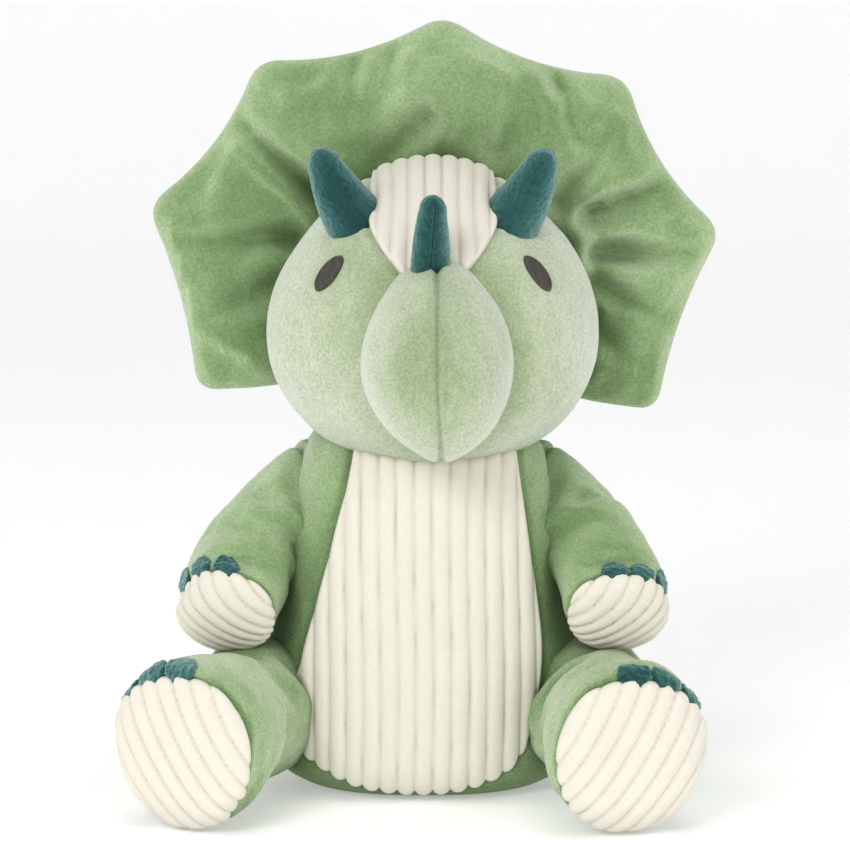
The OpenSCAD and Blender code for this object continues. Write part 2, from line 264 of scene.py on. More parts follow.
def make_outward(piece):
    """Turns all faces over if the closed mesh is inside out."""
    mesh = piece.data
    points = np.empty(len(mesh.vertices) * 3)
    mesh.vertices.foreach_get("co", points)
    points = points.reshape(-1, 3)
    mesh.calc_loop_triangles()
    tris = np.empty(len(mesh.loop_triangles) * 3, int)
    mesh.loop_triangles.foreach_get("vertices", tris)
    a, b, c = (points[tris.reshape(-1, 3)[:, i]] for i in range(3))
    if np.einsum("ij,ij->i", a, np.cross(b, c)).sum() < 0:
        mesh.flip_normals()


# ---- Cloth ----

def mesh_points(mesh):
    points = np.empty(len(mesh.vertices) * 3)
    mesh.vertices.foreach_get("co", points)
    return points.reshape(-1, 3) / MM


def settle(cover, attached, cell, pinned, spare, pressure=4, frames=18, cap=4):
    """Lets a filled cover puff out like cloth between its seams.

    A coarse copy of the cover, with a little spare cloth, is simulated with pinned(points)
    holding its seams. The way it moves is then passed on to the cover and to what is
    sewn on it.
    """
    scene = bpy.context.scene
    coarse = bpy.data.objects.new("coarse", cover.data.copy())
    scene.collection.objects.link(coarse)
    remesh = coarse.modifiers.new("cells", "REMESH")
    remesh.mode, remesh.voxel_size = "VOXEL", cell * MM
    graph = bpy.context.evaluated_depsgraph_get()
    cells = bpy.data.meshes.new_from_object(coarse.evaluated_get(graph))
    coarse.modifiers.clear()
    coarse.data = cells
    start = mesh_points(cells)
    pins = coarse.vertex_groups.new(name="pins")
    for i, weight in enumerate(pinned(start)):
        pins.add([i], float(np.clip(weight, 0, 1)), "REPLACE")
    cloth = coarse.modifiers.new("cloth", "CLOTH")
    fabric = cloth.settings
    fabric.quality = 6
    fabric.mass = 0.2
    fabric.tension_stiffness, fabric.compression_stiffness = 14, 9
    fabric.shear_stiffness, fabric.bending_stiffness = 5, 0.25
    fabric.use_pressure, fabric.uniform_pressure_force = True, pressure
    fabric.shrink_min = -spare
    fabric.vertex_group_mass = "pins"
    fabric.pin_stiffness = 1
    fabric.effector_weights.gravity = 0
    cloth.collision_settings.use_collision = False
    cloth.point_cache.frame_start, cloth.point_cache.frame_end = 1, frames
    for step in range(1, frames + 1):
        scene.frame_set(step)
    graph = bpy.context.evaluated_depsgraph_get()
    end = mesh_points(coarse.evaluated_get(graph).data)
    move = end - start
    length = np.linalg.norm(move, axis=1, keepdims=True)
    move *= cap * np.tanh(length / cap) / np.maximum(length, 1e-6)
    scene.frame_set(1)
    bpy.data.objects.remove(coarse)
    tree = kdtree.KDTree(len(start))
    for i, place in enumerate(start.tolist()):
        tree.insert(place, i)
    tree.balance()
    for piece in (cover, *attached):
        points = mesh_points(piece.data)
        for i, place in enumerate(points.tolist()):
            near = tree.find_n(place, 8)
            share = np.array([math.exp(-(d / (1.1 * cell)) ** 2) + 1e-9 for _, _, d in near])
            points[i] += share @ move[[n[1] for n in near]] / share.sum()
        piece.data.vertices.foreach_set("co", (points * MM).reshape(-1))
        piece.data.update()


# ---- Materials ----

class Nodes:
    """Small helper that builds a node tree line by line."""

    def __init__(self, name):
        self.material = bpy.data.materials.new(name)
        self.material.use_nodes = True
        self.tree = self.material.node_tree
        self.shader = self.tree.nodes["Principled BSDF"]
        coordinates = self.add("ShaderNodeTexCoord")
        self.place = coordinates.outputs["Object"]

    def finish(self, **values):
        """Sets values that are the same all over, by socket name with _ for a space."""
        for name, value in values.items():
            self.shader.inputs[name.replace("_", " ")].default_value = value

    def add(self, kind, **settings):
        node = self.tree.nodes.new(kind)
        for key, value in settings.items():
            setattr(node, key, value)
        return node

    def link(self, start, end):
        self.tree.links.new(start, end)

    def feed(self, socket, value):
        """Gives a socket a number, a colour or another node's output."""
        if isinstance(value, (int, float)):
            socket.default_value = value
        elif isinstance(value, tuple):
            socket.default_value = (*value, 1)
        else:
            self.link(value, socket)

    def mapped(self, scale):
        node = self.add("ShaderNodeMapping")
        node.inputs["Scale"].default_value = scale
        self.link(self.place, node.inputs["Vector"])
        return node.outputs["Vector"]

    def noise(self, scale, detail=2, roughness=0.5, place=None, distortion=0):
        node = self.add("ShaderNodeTexNoise")
        node.inputs["Scale"].default_value = scale
        node.inputs["Detail"].default_value = detail
        node.inputs["Roughness"].default_value = roughness
        node.inputs["Distortion"].default_value = distortion
        self.link(place or self.place, node.inputs["Vector"])
        return node.outputs["Fac"]

    def ramp(self, value, *stops):
        node = self.add("ShaderNodeValToRGB")
        elements = node.color_ramp.elements
        while len(elements) < len(stops):
            elements.new(0.5)
        for element, (position, colour) in zip(elements, stops):
            element.position = position
            element.color = (*colour, 1)
        self.link(value, node.inputs["Fac"])
        return node.outputs["Color"]

    def mix(self, factor, first, second, blend="MIX"):
        node = self.add("ShaderNodeMix", data_type="RGBA", blend_type=blend)
        self.feed(node.inputs[0], factor)
        self.feed(node.inputs[6], first)
        self.feed(node.inputs[7], second)
        return node.outputs[2]

    def math(self, operation, first, second):
        node = self.add("ShaderNodeMath", operation=operation)
        self.feed(node.inputs[0], first)
        self.feed(node.inputs[1], second)
        return node.outputs["Value"]

    def rim(self, blend):
        node = self.add("ShaderNodeLayerWeight")
        node.inputs["Blend"].default_value = blend
        return node.outputs["Facing"]

    def shade_mask(self, distance):
        """Ambient occlusion, 1 on open surfaces, falling to 0 deep in seams and folds: the mask
        for painted shade.
        """
        node = self.add("ShaderNodeAmbientOcclusion", samples=6)
        node.inputs["Distance"].default_value = distance
        return node.outputs["AO"]

    def bump(self, height, distance, strength):
        node = self.add("ShaderNodeBump")
        node.inputs["Distance"].default_value = distance
        node.inputs["Strength"].default_value = strength
        self.link(height, node.inputs["Height"])
        return node.outputs["Normal"]


# deep is the colour of the painted shade in seams, folds and gaps between parts.
def plush(name, dark, middle, light, pile=1, sheen=0.25, deep=(0.26, 0.33, 0.22)):
    """Short velvety pile with brushed patches and tiny tufts. Painted sheen makes it darker face
    on and paler edge on, and painted shade darkens seams, folds and gaps between parts.
    """
    n = Nodes(name)
    patches = n.noise(17, 2, 0.45, n.mapped((1, 1, 0.75)), distortion=0.35)
    strokes = n.noise(52, 3, 0.6, n.mapped((0.6, 0.6, 1)))
    tufts = n.noise(900 / pile, 2, 0.65)
    streaks = n.noise(300 / pile, 3, 0.6, n.mapped((1, 1, 0.5)))
    pile_tone_and_sheen = n.math("ADD", n.math("MULTIPLY", patches, 0.62), n.math("MULTIPLY", strokes, 0.20))
    # Painted sheen: surfaces seen edge on are lifted towards the light colour.
    pile_tone_and_sheen = n.math("ADD", pile_tone_and_sheen, n.math("MULTIPLY", n.rim(0.5), 0.62))
    colour = n.ramp(pile_tone_and_sheen, (0.40, dark), (0.60, middle), (1, light))
    shade = n.ramp(tufts, (0.36, (0.70,) * 3), (0.62, (1.06,) * 3))
    colour = n.mix(0.7, colour, shade, "MULTIPLY")
    brushed = n.ramp(streaks, (0.35, (0.88,) * 3), (0.65, (1,) * 3))
    colour = n.mix(0.7, colour, brushed, "MULTIPLY")
    # Painted shade: seams, folds and gaps between parts are darkened towards deep.
    colour = n.mix(n.ramp(n.shade_mask(0.026), (0.20, (1,) * 3), (0.88, (0,) * 3)),
                   colour, n.mix(1, colour, deep, "MULTIPLY"))
    n.link(colour, n.shader.inputs["Base Color"])
    n.finish(Roughness=0.95, Specular_IOR_Level=0.1, Sheen_Weight=sheen,
             Sheen_Roughness=0.4, Sheen_Tint=(*light, 1))
    height = n.math("ADD", tufts, n.math("MULTIPLY", streaks, 0.8))
    n.link(n.bump(height, 0.0006 * pile, 0.7), n.shader.inputs["Normal"])
    return n.material


def corduroy(name, groove, crest):
    """Cream corduroy: its ribs are in the mesh, the fine pile along them is here, with painted
    shade in its rib grooves and folds.
    """
    n = Nodes(name)
    soft = n.noise(60, 3, 0.6)
    pile = n.noise(1100, 3, 0.7)
    # Painted shade: broad folds are darkened, and the rib grooves are given the darker groove
    # colour.
    painted_fold_shade = n.ramp(n.shade_mask(0.02), (0.2, (0.80,) * 3), (0.9, (1,) * 3))
    painted_groove_shade = n.ramp(n.shade_mask(0.0025), (0.45, groove), (0.95, crest))
    colour = n.mix(1, painted_groove_shade, painted_fold_shade, "MULTIPLY")
    colour = n.mix(0.5, colour, n.ramp(soft, (0.3, (0.95,) * 3), (0.6, (1,) * 3)), "MULTIPLY")
    shade = n.ramp(pile, (0.3, (0.9,) * 3), (0.65, (1,) * 3))
    colour = n.mix(0.7, colour, shade, "MULTIPLY")
    n.link(colour, n.shader.inputs["Base Color"])
    n.finish(Roughness=0.92, Specular_IOR_Level=0.12, Sheen_Weight=0.2, Sheen_Roughness=0.5)
    n.link(n.bump(pile, 0.0004, 0.5), n.shader.inputs["Normal"])
    return n.material


def embroidery(name, dark, light):
    """Satin-stitch thread with a soft gloss."""
    n = Nodes(name)
    strands = n.noise(700, 2, 0.5, n.mapped((3, 1, 0.6)))
    n.link(n.ramp(strands, (0.3, dark), (0.7, light)), n.shader.inputs["Base Color"])
    n.finish(Roughness=0.55, Sheen_Weight=0.2)
    n.link(n.bump(strands, 0.0003, 0.5), n.shader.inputs["Normal"])
    return n.material


def ribbon(name, colour, shade):
    """Woven ribbon with a fine crossed weave."""
    n = Nodes(name)
    wave = n.add("ShaderNodeTexWave", wave_type="BANDS", bands_direction="Z")
    wave.inputs["Scale"].default_value = 700
    n.link(n.place, wave.inputs["Vector"])
    n.link(n.ramp(wave.outputs["Fac"], (0.2, shade), (0.8, colour)),
           n.shader.inputs["Base Color"])
    n.finish(Roughness=0.6)
    n.link(n.bump(wave.outputs["Fac"], 0.0002, 0.4), n.shader.inputs["Normal"])
    return n.material


SAGE = plush("sage_plush", (0.230, 0.350, 0.155), (0.400, 0.545, 0.290), (0.66, 0.75, 0.55))
# The mint's deep colour is its painted shade.
MINT = plush("mint_plush", (0.370, 0.465, 0.265), (0.545, 0.625, 0.430), (0.82, 0.86, 0.75),
             deep=(0.46, 0.53, 0.42))
TEAL = plush("teal_plush", (0.022, 0.080, 0.076), (0.060, 0.170, 0.160), (0.30, 0.47, 0.44),
             pile=1.7, sheen=0.3)
# The first cream is the painted shade in the rib grooves, the second is the crests.
CREAM = corduroy("cream_cord", (0.56, 0.51, 0.39), (0.85, 0.81, 0.70))
THREAD = embroidery("eye_thread", (0.020, 0.016, 0.011), (0.075, 0.065, 0.050))
RIBBON = ribbon("label_cloth", (0.88, 0.88, 0.87), (0.72, 0.72, 0.71))


def declare(piece, body, slot, *nodes, fill=0.75, padded=True):
    """Hangs a finished piece on the body it rides on and hides the frame's parts that it stands
    for.
    """
    if body:
        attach(piece, body)
    if nodes:
        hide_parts(*nodes)


# ---- Head ----

HEAD_R, HEAD_UP = 65, 61


def head_point(directions):
    """Where a ray from the head's centre leaves the head, which is fuller below."""
    d = unit(directions)
    across = np.hypot(d[..., 0], d[..., 1])
    t = np.full(across.shape, HEAD_R)
    for _ in range(8):
        s = t * d[..., 2] / HEAD_UP
        full = 1 - np.where(s > 0, 0.17, 0.11) * s
        t = 1 / np.sqrt((across / (HEAD_R * full)) ** 2 + (d[..., 2] / HEAD_UP) ** 2)
    return HEAD + d * t[..., None]


def crown_surface(u, v):
    """The head under a cloth laid over the brow: u runs sideways, v from brow to crown."""
    a, b = u / HEAD_R, v / HEAD_UP
    return head_point(np.stack(
        [np.sin(a), -np.cos(a) * np.cos(b), np.cos(a) * np.sin(b)], axis=-1))


FOREHEAD_RIGHT_EDGE = spline(
    [(4, 10), (12, 21), (19.5, 29.5), (24.5, 38), (25.5, 46), (24, 55), (21, 70), (20, 90)], 6)
FOREHEAD = np.vstack([FOREHEAD_RIGHT_EDGE, FOREHEAD_RIGHT_EDGE[::-1] * (-1, 1)])


def forehead_distance(p):
    return outline_distance(p[..., 0] - HEAD[0], p[..., 2] - HEAD[2], FOREHEAD)


MUZZLE = HEAD + np.array((1.4, -52, -12))


def muzzle_point(directions):
    """Egg-shaped muzzle: pointed forwards and down, narrower above and wedge-like below."""
    d = unit(directions)
    side, forward, up = d[..., 0], d[..., 1], d[..., 2]
    half_up = np.where(up > 0, 39.5, 36.5)
    power = np.where(up > 0, 1.75, 1.9)
    reach = np.where(forward < 0, 45, 40)
    flat = (np.abs(side / 29.5) ** power + np.abs(up / half_up) ** power) ** (2 / power)
    t = 1 / np.sqrt(flat + (forward / reach) ** 2)
    p = d * t[..., None]
    lean = smooth_step(-p[..., 1] / 45)
    p[..., 2] -= 5 * lean
    p[..., 0] += 1.5 * smooth_step(-p[..., 2] / 36)
    return MUZZLE + p


def inside_muzzle(points):
    """Rough signed distance to the muzzle, negative inside, for the seam round it."""
    q = points - MUZZLE
    distance = np.linalg.norm(q, axis=-1)
    return distance - np.linalg.norm(muzzle_point(q) - MUZZLE, axis=-1)


def make_head():
    directions, faces = ball_directions(120)
    p = head_point(directions)
    brow = np.exp(-(forehead_distance(p) / 1.6) ** 2) * (p[:, 1] < FRILL_FRONT)
    seam = np.exp(-(inside_muzzle(p) / 4.5) ** 2)
    soft = waves(p, 26, 1) * 0.9 + waves(p, 9, 2) * 0.25
    p = p + directions * (soft - 1.1 * brow - 1 * seam)[:, None]
    head = add_mesh("face", p, faces, MINT)
    declare(head, "head", "mint_plush", "face_left_panel", "face_right_panel",
            "head_stuffing", fill=0.9)


def make_head_back():
    """Sage panel that covers the head behind the frill, a little proud of the face."""
    directions, faces = ball_directions(110)
    p = head_point(directions)
    behind = p[:, 1] - FRILL_FRONT - 4
    cover = np.sqrt(1 - (1 - np.clip(behind / 3, 0, 1)) ** 2)
    centre_seam = np.exp(-((p[:, 0] - HEAD[0]) / 1.3) ** 2)
    rise = cover * (2.8 + waves(p, 24, 21) * 0.8 - 1.5 * centre_seam) - 1.4
    quads = np.array(faces)
    quads = quads[(behind[quads] > -2).all(axis=1)]
    piece = shell("head_back", p + directions * rise[:, None], p - directions * 3, quads, SAGE)
    declare(piece, "head", "sage_plush", "head_back_panel", fill=0.9)


def make_forehead():
    def distance(u, v, p):
        shape = forehead_distance(p)
        return np.maximum(shape, p[..., 1] - FRILL_FRONT - 4)

    def height(u, v, p):
        return GROOVE_LIFT + RIB_HEIGHT * rib(u)

    piece = panel("forehead", crown_surface, distance, height, (-34, 34), (8, 118), 0.5,
                  CREAM, HEAD)
    declare(piece, "head", "cream_cord", "forehead_panel", fill=0.9)


def make_muzzle():
    directions, faces = ball_directions(90)
    p = muzzle_point(directions)
    line = p[:, 0] - MUZZLE[0] - 1.5 * smooth_step(-(p[:, 2] - MUZZLE[2]) / 36)
    front = smooth_step((MUZZLE[1] + 12 - p[:, 1]) / 14)
    groove = np.exp(-(line / 1.3) ** 2) * front
    shoulder = np.exp(-(line / 6) ** 2) * front
    soft = waves(p, 18, 3) * 0.7 + waves(p, 7, 4) * 0.2
    p = p + directions * (soft + 1.3 * shoulder - 2.6 * groove)[:, None]
    piece = add_mesh("muzzle", p, faces, MINT)
    declare(piece, "head", "mint_plush", "snout_left_panel", "snout_right_panel",
            "snout_stuffing", fill=0.9)


EYE_HALF = (4.7, 8.8)
EYE_TILT = math.radians(27)


def eye_surface(side):
    """The face round an eye, in flat coordinates turned with the oval."""
    look = unit((41 * side, -43, 21))
    across = unit(np.cross(look, (0, 0, 1))) * -side
    up = np.cross(look, across) * side
    if up[2] < 0:
        up = -up
    outward = across if across[0] * side > 0 else -across
    reach = HEAD_R * 0.97

    def surface(u, v):
        lean_u = u * math.cos(EYE_TILT) - v * math.sin(EYE_TILT)
        lean_v = u * math.sin(EYE_TILT) + v * math.cos(EYE_TILT)
        return head_point(
            look * reach + outward * lean_u[..., None] + up * lean_v[..., None])

    return surface


def make_eye(name, side):
    """Oval of slanted satin stitches inside a raised thread outline."""
    def distance(u, v, p):
        return (np.hypot(u / EYE_HALF[0], v / EYE_HALF[1]) - 1) * EYE_HALF[0]

    def height(u, v, p):
        ring = np.exp(-((distance(u, v, p) + 0.9) / 0.42) ** 2)
        stitches = 0.5 + 0.5 * np.sin((u * 0.35 + v) * 2 * math.pi / 0.62)
        twist = 0.5 + 0.5 * np.sin((np.arctan2(v, u) * 9 + 4 * u) * 2)
        return 0.55 + 0.22 * stitches + ring * (0.35 + 0.18 * twist)

    piece = panel(f"eye_{name}_patch", eye_surface(side), distance, height,
                  (-6, 6), (-10.5, 10.5), 0.16, THREAD, HEAD,
                  edge=0.7, bury=0.7, thickness=0.6, margin=0.5)
    declare(piece, "head", "eye_thread", f"eye_{name}", padded=False)


# ---- Limbs, horns and tail ----

class Limb:
    """A soft tube along a bent centre line, with a squarish dome at its end.

    Its surface is mapped from the dome's pole: (u, v) is a distance and a direction
    from the pole, with u sideways and v upwards.
    """

    def __init__(self, root, bend, end, radius, tall=1, dome=12, power=2.8, root_dome=14,
                 up=(0, 0, 1)):
        t = np.linspace(0, 1, 60)[:, None]
        root, bend, end = (np.asarray(q, float) for q in (root, bend, end))
        self.line = (1 - t) ** 2 * root + 2 * t * (1 - t) * bend + t * t * end
        steps = np.linalg.norm(np.diff(self.line, axis=0), axis=1)
        self.along = np.concatenate([[0], np.cumsum(steps)])
        self.length = self.along[-1]
        tangent = unit(np.gradient(self.line, axis=0))
        self.side = unit(np.cross(np.asarray(up, float), tangent))
        self.up = np.cross(tangent, self.side)
        self.tangent = tangent
        self.radius, self.tall = radius, tall
        theta = np.linspace(0, math.pi / 2, 40)
        q = 2 / power
        cap = np.column_stack(
            [np.sin(theta) ** q, self.length - dome + dome * np.cos(theta) ** q])
        wall = np.column_stack([np.ones(60), np.linspace(self.length - dome, 0, 61)[1:]])
        back = np.column_stack(
            [np.cos(theta[1:]), -root_dome * np.sin(theta[1:])])
        self.profile = np.vstack([cap, wall, back])
        flat = self.profile * (radius(1), 1)
        self.reach = np.concatenate(
            [[0], np.cumsum(np.linalg.norm(np.diff(flat, axis=0), axis=1))])
        self.middle = self.line[30]

    def at(self, values, a):
        inner = np.clip(a, 0, self.length)
        return np.stack(
            [np.interp(inner, self.along, values[:, i]) for i in range(3)], axis=-1)

    def surface(self, u, v):
        m, turn = np.hypot(u, v), np.arctan2(v, u)
        share = np.interp(m, self.reach, self.profile[:, 0])
        a = np.interp(m, self.reach, self.profile[:, 1])
        r = share * self.radius(np.clip(a / self.length, 0, 1))
        centre = self.at(self.line, a) + self.at(self.tangent, a) * np.minimum(a, 0)[..., None]
        return (centre + self.at(self.side, a) * (r * np.cos(turn))[..., None]
                + self.at(self.up, a) * (r * self.tall * np.sin(turn))[..., None])

    def pinned(self, hidden, front):
        """Pin weights: held where it is sewn on, and lightly at the end that faces out."""
        start, end = self.line[0], self.line[-1]
        aim = self.tangent[-1]

        def weights(points):
            root = 1 - smooth_step((np.linalg.norm(points - start, axis=1) - hidden) / 8)
            return np.maximum(root, 0.9 * smooth_step(((points - end) @ aim + front) / 4))

        return weights

    def mesh(self, name, material, shape, step=0.9):
        """The whole limb. shape(m, turn, points) gives how far its points move outwards."""
        rows = int(self.reach[-1] / step)
        columns = int(2 * math.pi * self.radius(0.5) / step)
        m = np.linspace(0, self.reach[-1], rows + 2)[1:-1]
        turn = np.linspace(0, 2 * math.pi, columns, endpoint=False)
        mm, tt = np.meshgrid(m, turn, indexing="ij")
        grid = self.surface(mm * np.cos(tt), mm * np.sin(tt))
        a = np.interp(mm, self.reach, self.profile[:, 1])
        inner = self.at(self.line, np.clip(a, 0, self.length * 0.97))
        around, core = (np.concatenate([q, q[:, :1]], axis=1) for q in (grid, inner))
        normal = surface_normals(around, core)[:, :-1]
        flat = grid.reshape(-1, 3)
        move = shape(mm.reshape(-1), tt.reshape(-1), flat)
        rings = (flat + normal.reshape(-1, 3) * move[:, None]).reshape(grid.shape)
        tip = self.surface(np.zeros(1), np.zeros(1))
        deep = self.surface(np.full(1, self.reach[-1]), np.zeros(1))
        points, faces = closed_tube(rings, tip, deep)
        piece = add_mesh(name, points, faces, material)
        make_outward(piece)
        return piece


def arm_limb(side):
    pivot = joint_place(f"arm_{'left' if side > 0 else 'right'}_swing")
    root = pivot + np.array((-15 * side, 3, 2))
    bend = pivot + np.array((15 * side, -8, -20))
    end = pivot + np.array((20.3 * side - 1.2, -57, -44))

    def radius(s):
        return np.interp(s, [0, 0.2, 0.5, 0.8, 1], [18.5, 19.5, 19.5, 18.8, 18.2])

    return Limb(root, bend, end, radius, tall=0.98, dome=14, power=2.5)


FOOT_LEAN = math.radians(16)


def leg_limb(side):
    name = f"leg_{'left' if side > 0 else 'right'}"
    pivot = joint_place(f"{name}_swing")
    reach = unit(node_centre(f"{name}_sole") - pivot)
    root = pivot + np.array((15 * side, 16, 3))
    bend = pivot + np.array((21 * side, -24, 2))
    end = pivot + reach * 95
    end[2] = 33

    def radius(s):
        return np.interp(s, [0, 0.3, 0.5, 0.68, 0.82, 1], [24, 23, 22.6, 24.6, 27.6, 28])

    up = (math.sin(FOOT_LEAN) * side, 0, math.cos(FOOT_LEAN))
    return Limb(root, bend, end, radius, tall=1.12, dome=11, power=3, up=up)


def limb_shape(seed, pad_reach, folds, root_seam):
    """Soft dents, a seam round the pad, a seam at the root and folds running from it."""
    def shape(m, turn, p):
        soft = waves(p, 21, seed) * 1 + waves(p, 8, seed + 1) * 0.3
        seam = np.exp(-((m - pad_reach(turn)) / 1.3) ** 2)
        middle, normal = root_seam
        sewn = np.exp(-(((p - middle) @ normal) / 1.4) ** 2)
        under_pad = smooth_step((pad_reach(turn) - m) / 4)
        soft = soft * (1 - under_pad) - 1.2 * under_pad
        return soft - 1.3 * seam - 2.2 * sewn - creases(p, folds)

    return shape


def ribbed_pad(name, limb, pad_reach, rib_path, span, body, node):
    """Corduroy end panel of a limb. rib_path(v) is how far a rib has drifted at height v."""
    def distance(u, v, p):
        edge = np.hypot(u, v) - pad_reach(np.arctan2(v, u))
        ends = np.clip(np.abs(v) / span * 2 - 0.3, 0, 1)
        return edge - 1.1 * rib(u - rib_path(v)) * ends

    def height(u, v, p):
        return GROOVE_LIFT + RIB_HEIGHT * 0.9 * rib(u - rib_path(v))

    piece = panel(name, limb.surface, distance, height, (-span, span), (-span, span), 0.5,
                  CREAM, limb.middle)
    declare(piece, body, "cream_cord", node, fill=0.9)
    return piece


def claw_patch(name, limb, pad_reach, turns, lobe, body, node):
    """Fuzzy flat lobes side by side on the limb, half hidden behind the pad's edge."""
    def distance(u, v, p):
        m, turn = np.hypot(u, v), np.arctan2(v, u)
        edge = pad_reach(turn)
        d = np.full(u.shape, 1e9)
        for middle in turns:
            at = pad_reach(np.array(middle)) + lobe * 0.6
            du, dv = u - at * math.cos(middle), v - at * math.sin(middle)
            outward = du * math.cos(middle) + dv * math.sin(middle)
            sideways = dv * math.cos(middle) - du * math.sin(middle)
            d = np.minimum(d, np.hypot(outward / 0.95, sideways) - lobe)
        fuzz = waves(p.reshape(-1, 3), 1.6, 4).reshape(u.shape)
        return np.maximum(d + 0.7 * fuzz, edge - 3 - m)

    def height(u, v, p):
        flat = p.reshape(-1, 3)
        fuzz = waves(flat, 1.5, 5) * 0.5 + waves(flat, 3.6, 6) * 0.3
        return 1.2 + fuzz.reshape(u.shape)

    reach = float(pad_reach(np.array(turns[1]))) + 2.6 * lobe
    piece = panel(name, limb.surface, distance, height, (-reach, reach), (-reach, reach), 0.4,
                  TEAL, limb.middle, edge=1.3, bury=0.8)
    declare(piece, body, "teal_plush", node, padded=False)
    return piece


def claw_turns(side, leans):
    return [math.pi / 2 - side * math.radians(lean) for lean in leans]


def dress_limb(body, limb, seed, pad_reach, rib_path, folds, seam, pad, claws, cloth):
    """Cover, pad and claws of an arm or leg, puffed out together.

    claws: turns, size. cloth: cell size, pinned lengths, spare cloth.
    """
    pivot = joint_place(f"{body}_swing")
    piece = limb.mesh(body, SAGE, limb_shape(seed, pad_reach, folds, seam))
    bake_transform(piece)
    declare(piece, None, "sage_plush", f"{body}_cover", f"{body}_stuffing", fill=0.8)
    pad_name, pad_node, span = pad
    panel_piece = ribbed_pad(pad_name, limb, pad_reach, rib_path, span, body, pad_node)
    patch = claw_patch(f"{body}_claw_patch", limb, pad_reach, *claws, body, f"{body}_claws")
    cell, pinned, spare = cloth
    settle(piece, (panel_piece, patch), cell, limb.pinned(*pinned), spare)


def make_arm(name, side):
    body = f"arm_{name}"
    pivot = joint_place(f"{body}_swing")

    def pad_reach(turn):
        outer = np.clip(np.sin(turn + (0 if side < 0 else 0.35)), 0, 1) ** 2
        lobed = 22 + 0.5 * np.cos(turn * 2) + 1.4 * side * np.cos(turn)
        return lobed - (0.6 + 1.6 * (side > 0)) * outer

    def rib_path(v):
        fall = 19 - v
        return -side * (0.25 * fall + 0.024 * fall ** 2)

    pit = pivot + (-8 * side, -19, -13)
    folds = [
        (pit, pivot + (-3 * side, -20, 14), 4.5, 3.4),
        (pit, pivot + (10 * side, -23, 4), 4, 3.6),
        (pit + (2 * side, -4, -7), pivot + (16 * side, -34, -12), 2.2, 4.5),
    ]
    seam = (pivot + (-9 * side, 0, 0), unit((side, -0.45, -0.2)))
    dress_limb(body, arm_limb(side), 3 + side, pad_reach, rib_path, folds, seam,
               pad=(f"{body}_paw", f"{body}_pad", 26),
               claws=(claw_turns(side, (-6, 27, 60)), 6.6), cloth=(3.5, (26, 6), 0.07))


def make_leg(name, side):
    body = f"leg_{name}"
    pivot = joint_place(f"{body}_swing")

    def pad_reach(turn):
        top = np.clip(np.sin(turn), 0, 1) ** 2
        return 31 + 1.6 * side * np.cos(turn) - 7 * top

    def rib_path(v):
        fall = 30 - v
        return -side * (0.05 * fall + 0.0042 * fall ** 2)

    groin = pivot + (-4 * side, -26, 14)
    folds = [
        (groin, pivot + (10 * side, -26, 27), 5, 3.6),
        (groin + (0, -8, -6), pivot + (12 * side, -42, 24), 3.6, 3.8),
        (groin + (-2 * side, -6, -18), pivot + (2 * side, -54, 6), 2.4, 4.5),
        (pivot + (24 * side, -4, 14), pivot + (20 * side, -30, 24), 3, 4),
    ]
    seam = (pivot + (0, -6, 0), unit((0.9 * side, -0.8, 0)))
    dress_limb(body, leg_limb(side), 7 + side, pad_reach, rib_path, folds, seam,
               pad=(f"{body}_sole_panel", f"{body}_sole", 40),
               claws=(claw_turns(side, (-15, 12, 39)), 6.8), cloth=(4, (22, 9), 0.06))


def make_horn(name, root, bend, tip, base_r, tip_r, seam_turn, *nodes):
    def radius(s):
        return base_r + (tip_r - base_r) * s ** 1.6

    limb = Limb(root, bend, tip, radius, dome=tip_r * 1.3, power=2.3, root_dome=3)

    def shape(m, turn, p):
        tufts = waves(p, 1.3, 8) * 0.22 + waves(p, 5, 9) * 0.3
        round_seam = turn - seam_turn
        seam = np.exp(-(np.sin(round_seam) * base_r / 0.8) ** 2) * (np.cos(round_seam) > 0)
        return tufts - 1.1 * seam

    piece = limb.mesh(name, TEAL, shape, step=0.42)
    declare(piece, "head", "teal_plush", *nodes, fill=0.8)


def make_horns():
    nose_base = HEAD + np.array((-0.7, -57, 19))
    make_horn("nose_horn_cover", nose_base, nose_base + np.array((-0.8, -8, 14)),
              HEAD + np.array((0.3, -74, 52)), 7.9, 4.4, -math.pi / 2,
              "nose_horn", "nose_horn_stuffing")
    for name, side in SIDES.items():
        make_horn(f"brow_horn_{name}_cover", HEAD + np.array((24.5 * side, -24, 32)),
                  HEAD + np.array((37.5 * side, -31, 48)),
                  HEAD + np.array((43.5 * side, -36, 67.5)), 12.6, 4.6,
                  -math.pi / 2 + 0.75 * side,
                  f"brow_horn_{name}", f"brow_horn_{name}_stuffing")


def make_tail():
    pivot = joint_place("tail_wag")
    end = node_box("tail_cover")[1]
    tip = np.array((0, end[1] - 1, 13))

    def radius(s):
        return 21 - 13.5 * s ** 0.9

    limb = Limb(pivot + (0, -12, 1), pivot + (0, 20, -4), tip, radius, dome=9, power=2.1)

    def shape(m, turn, p):
        seam = np.exp(-(np.cos(turn) * 12 / 1.2) ** 2)
        return waves(p, 16, 11) * 0.8 + waves(p, 6, 12) * 0.25 - 0.9 * seam

    piece = limb.mesh("tail", SAGE, shape)
    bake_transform(piece)
    declare(piece, None, "sage_plush", "tail_cover", "tail_stuffing", fill=0.8)


# ---- Torso ----

